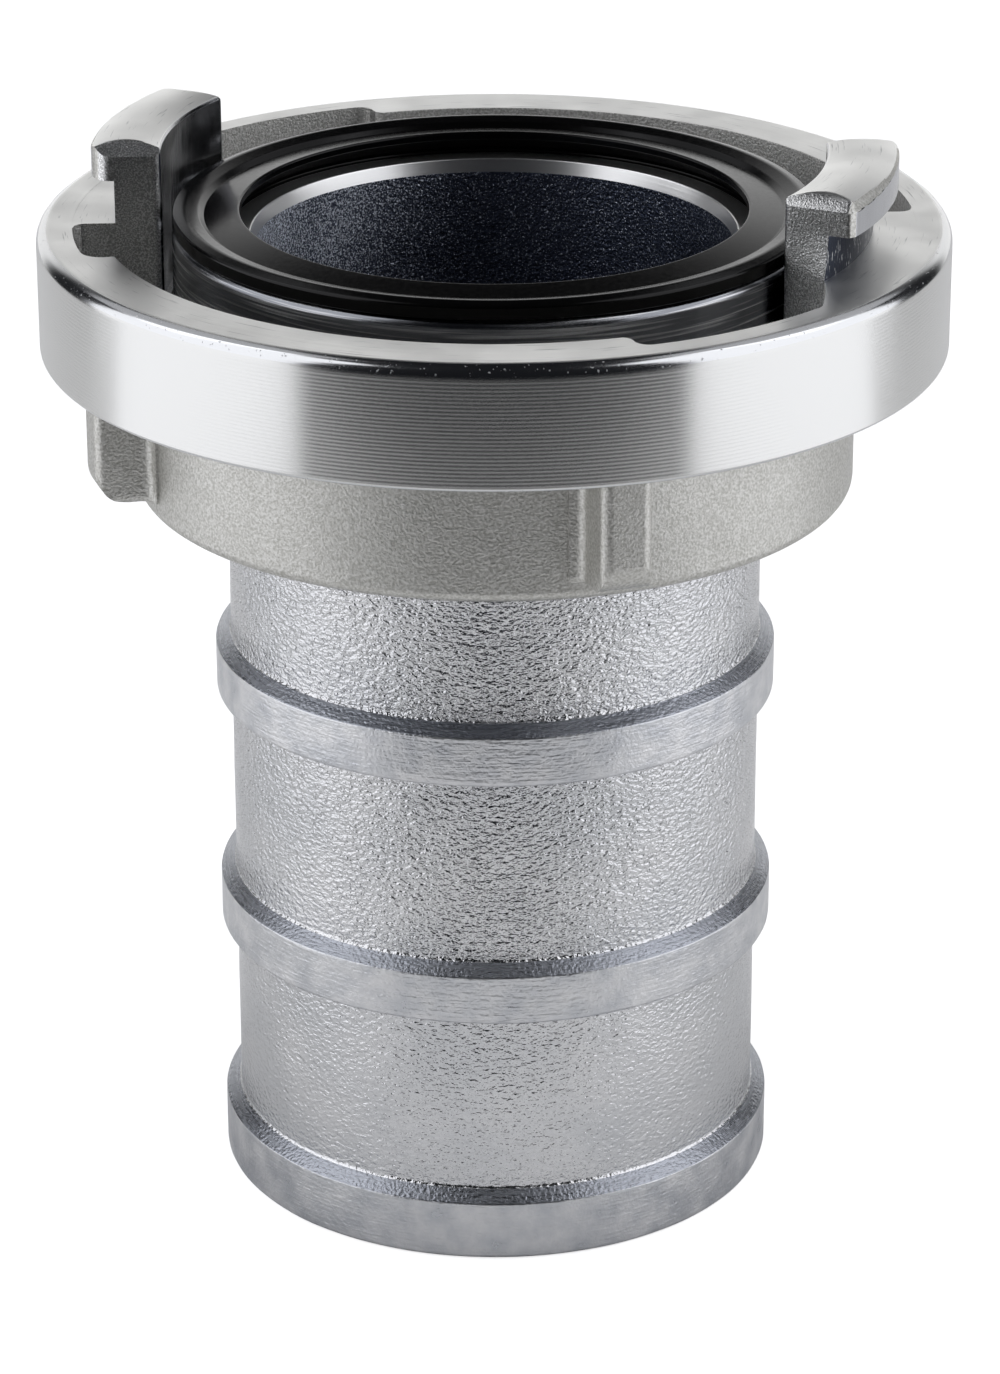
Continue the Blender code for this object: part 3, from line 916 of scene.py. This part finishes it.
def makeRing(finishes):
    level, room = tail["wireLevel"], tail["wireRoom"]
    hubInner, hubOuter, hubTop = ring["hubRounds"]
    clawHigh, clawLow = ring["clawRounds"]
    channelHigh, channelLow, channelInner = ring["channelRounds"]
    corners = [
        (ring["thrustRadius"], hubBottom, hubInner),
        (ring["hubRadius"], hubBottom, hubOuter),
        (ring["hubRadius"], ring["flangeBottom"], hubTop),
        (flangeRadius, ring["flangeBottom"], ring["flangeFoot"]),
        (flangeRadius, flangeTop, ring["edgeRound"]),
        (ring["clawRadius"], flangeTop, clawHigh),
        (ring["clawRadius"], ring["clawUnderside"], clawLow),
        (ring["channelRadius"], ring["clawUnderside"], channelHigh),
        (ring["channelRadius"], ring["channelFloor"], channelLow),
        (ring["boreRadius"], ring["channelFloor"], channelInner),
        (ring["boreRadius"], level + room, 0),
        (ring["wireGroove"], level + room, 0),
        (ring["wireGroove"], level - room, 0),
        (ring["boreRadius"], level - room, 0),
        (ring["boreRadius"], ring["thrustTop"], 0),
        (ring["thrustRadius"], ring["thrustTop"], ring["thrustRound"]),
    ]
    piece = turnPiece("lugRing", rounded(corners), ring["segments"])
    combine(piece, "DIFFERENCE", [makeOpeningTool(turn) for turn in (0, 180)])
    combine(piece, "UNION", [makeLug(turn) for turn in (0, 180)])
    combine(piece, "UNION", [makeRib(angle) for angle in rib["angles"]])

    # where one finish ends and the next begins, a little past the edge
    lugBottom = flangeTop + 0.2
    wallSlack = 0.4
    neckOuter = lug["neck"] + 0.3
    hookInner = lug["head"] - 1.2
    rimInner = flangeRadius - 0.05
    edgeInner, edgeBottom = rimInner - ring["edgeRound"], flangeTop - 2.5
    faceBottom = flangeTop - 0.3
    footInner = flangeRadius - 0.7
    channelBottom, channelOuter = ring["channelFloor"] - 0.1, ring["channelRadius"] + 1
    hubFace = hubBottom + 0.2
    # how far a face looks out, up or down to count as doing so
    wall, hookWall, hookFront, hookSlant, channelWall = 0.7, 0.5, 0.95, 0.4, 0.3
    lugFlat, faceFlat, edgeFlat = 0.8, 0.9, 0.93

    def chooseOnLug(radius, out, up, centre):
        turned = (math.degrees(math.atan2(centre.y, centre.x)) - lug["near"]) % 180
        run = math.radians(turned) * lugMiddle
        onEnd = run < endWidth(radius, 0) or lugLength - run < endWidth(radius, 1)
        if up > lugFlat and not onEnd:
            return "satinFace"
        if out > wall and radius < neckOuter:
            return "scratchedNeck"
        if up < -wall:
            return "milledAluminium"
        if out > hookWall and radius > hookInner:
            return "blastedAluminium" if up > hookSlant or out < hookFront else "milledAluminium"
        return "forgedSkin"

    def choose(radius, height, out, up, centre):
        if out < -wall and abs(radius - lug["inner"]) < wallSlack:
            return "milledAluminium"
        if height > lugBottom:
            return chooseOnLug(radius, out, up, centre)
        if radius > rimInner:
            return "turnedRim"
        if radius > edgeInner and height > edgeBottom:
            return "satinFace" if up > edgeFlat else "polishedEdge"
        if up > faceFlat and height > faceBottom:
            return "satinFace"
        if radius > footInner:
            return "polishedEdge"
        if height > channelBottom and radius < channelOuter:
            return "forgedWall" if out < -channelWall and radius > lug["neck"] else "forgedSkin"
        if up < -wall and height < hubFace:
            return "turnedCollar"
        return "blastedAluminium"

    used = (
        "turnedRim", "polishedEdge", "satinFace", "blastedAluminium", "forgedSkin", "milledAluminium",
        "scratchedNeck", "forgedWall", "turnedCollar",
    )
    dress(piece, {name: finishes[name] for name in used}, choose)
    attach(piece, "ring")
    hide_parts("lug_ring")


makers = (
    makeTumbledAluminium, makeScuffedAluminium, makeTurnedRamp, makeTurnedCollar,
    makeFacedMouth, makeCastBore, makeTurnedRim, makePolishedEdge,
    makeSatinFace, makeBlastedAluminium, makeForgedWall, makeForgedSkin,
    makeMilledAluminium, makeScratchedNeck, makeMouldedRubber, makeDrawnWire,
)
finishes = {}
for maker in makers:
    finish = maker()
    finishes[finish.name] = finish
print("finishes made:", len(finishes))

makeTail(finishes)
print("hose tail turned")
makeSeal(finishes)
print("face seal moulded")
makeRing(finishes)
print("lug ring turned, opened and given its lugs and ribs")

# the wire ring stays as the CAD has it, in its groove
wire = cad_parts["snap_ring"]
wire.data.materials.clear()
wire.data.materials.append(finishes["drawnWire"])
wire.data.shade_smooth()


# studio, in metres

studio = {
    "boxLevel": 1.3,
    "boxDistance": 0.95,
    "boxBearing": 80,  # degrees from the camera's side
    "boxSize": (1.22, 3.1),
    "boxHeight": 0.82,
    "boxColour": "#F9FAFE",
    "tableFront": -0.32,
    "tableStep": 0.08,
    "tableBack": 0.90,
    "tableHalf": (0.26, 0.52),
    "tableSeen": 0.72,  # glow that the camera sees
    "tableShone": 0.22,  # glow that metal sees
    "tableFade": (0.04, 0.075),  # radius where the glow starts, and where it is full
    "paperColour": "#EDEDED",
    "backColour": "#FFFFFF",
    "roomColour": "#17181B",
    # the backdrop's soft edges, as parts of a direction of length 1: to the back and upwards
    "backReach": (0.74, 0.86),
    "backHeight": (0.56, 0.28),
    "roofLevel": 0.5,
    "roofPlace": (1.05, 0.80, 1.35),
    "roofSize": (1.4, 1.4),
}


def makeBox(name, place, turn, size, level):
    light = bpy.data.lights.new(name, "AREA")
    light.shape = "RECTANGLE"
    light.size, light.size_y = size
    light.energy = level * math.pi * light.size * light.size_y
    light.color = colour(studio["boxColour"])[:3]
    lamp = bpy.data.objects.new(name, light)
    lamp.location = place
    lamp.rotation_euler = turn
    lamp.visible_camera = False
    scene.collection.objects.link(lamp)


def makeBoxes(side):
    # a tall softbox beside the coupling and a weaker one over it, towards the back
    bearing = math.radians(studio["boxBearing"]) * side
    away = Vector((math.sin(bearing), -math.cos(bearing), 0)) * studio["boxDistance"]
    place = away + Vector((0, 0, studio["boxHeight"]))
    aim = (-away).to_track_quat("-Z", "Y").to_euler()
    makeBox("softBox", place, aim, studio["boxSize"], studio["boxLevel"])
    across, back, height = studio["roofPlace"]
    makeBox("roofBox", (across * side, back, height), (0, 0, 0), studio["roofSize"], studio["roofLevel"])


def makeWorld():
    # the camera sees plain white, and the metal sees a low white backdrop behind and a dark room elsewhere
    world = bpy.data.worlds.new("studioRoom")
    world.use_nodes = True
    tree = world.node_tree
    tree.nodes.clear()
    direction = addNode(tree, "ShaderNodeTexCoord").outputs["Generated"]
    heading = addNode(tree, "ShaderNodeSeparateXYZ", {0: direction}).outputs
    fadeStart, fadeEnd = studio["backReach"]
    behind = addNode(
        tree,
        "ShaderNodeMapRange",
        {"Value": heading["Y"], "From Min": fadeStart, "From Max": fadeEnd},
        interpolation_type="SMOOTHSTEP",
    ).outputs["Result"]
    fadeStart, fadeEnd = studio["backHeight"]
    below = addNode(
        tree,
        "ShaderNodeMapRange",
        {"Value": heading["Z"], "From Min": fadeStart, "From Max": fadeEnd},
        interpolation_type="SMOOTHSTEP",
    ).outputs["Result"]
    share = addNode(tree, "ShaderNodeMath", {0: behind, 1: below}, operation="MULTIPLY").outputs[0]
    room = addNode(tree, "ShaderNodeBackground", {"Color": colour(studio["roomColour"])}).outputs[0]
    white = addNode(tree, "ShaderNodeBackground", {"Color": colour(studio["backColour"])}).outputs[0]
    seen = addNode(tree, "ShaderNodeMixShader", {0: share, 1: room, 2: white}).outputs[0]
    isCamera = addNode(tree, "ShaderNodeLightPath").outputs["Is Camera Ray"]
    final = addNode(tree, "ShaderNodeMixShader", {0: isCamera, 1: seen, 2: white}).outputs[0]
    addNode(tree, "ShaderNodeOutputWorld", {"Surface": final})
    scene.world = world


def makeTable():
    # white table: camera rays get most of its white as light, so only the contact shadow shows
    finish = bpy.data.materials.new("tablePaper")
    finish.use_nodes = True
    tree = finish.node_tree
    tree.nodes.clear()
    paper = addNode(tree, "ShaderNodeBsdfDiffuse", {"Color": colour(studio["paperColour"])}).outputs[0]
    rays = addNode(tree, "ShaderNodeLightPath").outputs
    shown = addNode(
        tree, "ShaderNodeMath", {0: rays["Is Camera Ray"], 1: studio["tableSeen"]}, operation="MULTIPLY"
    ).outputs[0]
    # the glow that metal sees fades out under the coupling
    place = addNode(tree, "ShaderNodeTexCoord").outputs["Object"]
    near, far = studio["tableFade"]
    fade = addNode(
        tree,
        "ShaderNodeMapRange",
        {
            "Value": ringRadius(tree, place),
            "From Min": near,
            "From Max": far,
            "To Max": studio["tableShone"],
        },
    ).outputs["Result"]
    shone = addNode(
        tree,
        "ShaderNodeMath",
        {0: rays["Is Glossy Ray"], 1: fade, 2: shown},
        operation="MULTIPLY_ADD",
    ).outputs[0]
    glow = addNode(tree, "ShaderNodeEmission", {"Strength": shone}).outputs[0]
    mixed = addNode(tree, "ShaderNodeAddShader", {0: paper, 1: glow}).outputs[0]
    addNode(tree, "ShaderNodeOutputMaterial", {"Surface": mixed})
    narrow, wide = studio["tableHalf"]
    front, step, back = studio["tableFront"], studio["tableStep"], studio["tableBack"]
    side = [(narrow, front, 0), (narrow, step, 0), (wide, step, 0), (wide, back, 0)]
    corners = side + [(-x, y, z) for x, y, z in side[::-1]]
    mesh = bpy.data.meshes.new("table")
    mesh.from_pydata(corners, [], [range(len(corners))])
    mesh.materials.append(finish)
    table = bpy.data.objects.new("table", mesh)
    scene.collection.objects.link(table)


view = {
    "place": (0, -666.2, 349.9),  # millimetres
    "down": 22.71,  # degrees, as are yaw and roll
    "yaw": 0.06,
    "roll": -0.085,
    "lens": 132.2,
    "sensor": 36,
}


def makeCamera():
    camera = bpy.data.cameras.new("photoCamera")
    camera.lens = view["lens"]
    camera.sensor_width = view["sensor"]
    item = bpy.data.objects.new("photoCamera", camera)
    turn = Matrix.Rotation(math.radians(-view["yaw"]), 4, "Z")
    tilt = Matrix.Rotation(math.radians(90 - view["down"]), 4, "X")
    roll = Matrix.Rotation(math.radians(view["roll"]), 4, "Z")
    item.matrix_world = Matrix.Translation(Vector(view["place"]) * mm) @ turn @ tilt @ roll
    scene.collection.objects.link(item)
    scene.camera = item


makeBoxes(-1)
makeBoxes(1)
makeWorld()
makeTable()
makeCamera()
print("studio and camera set")
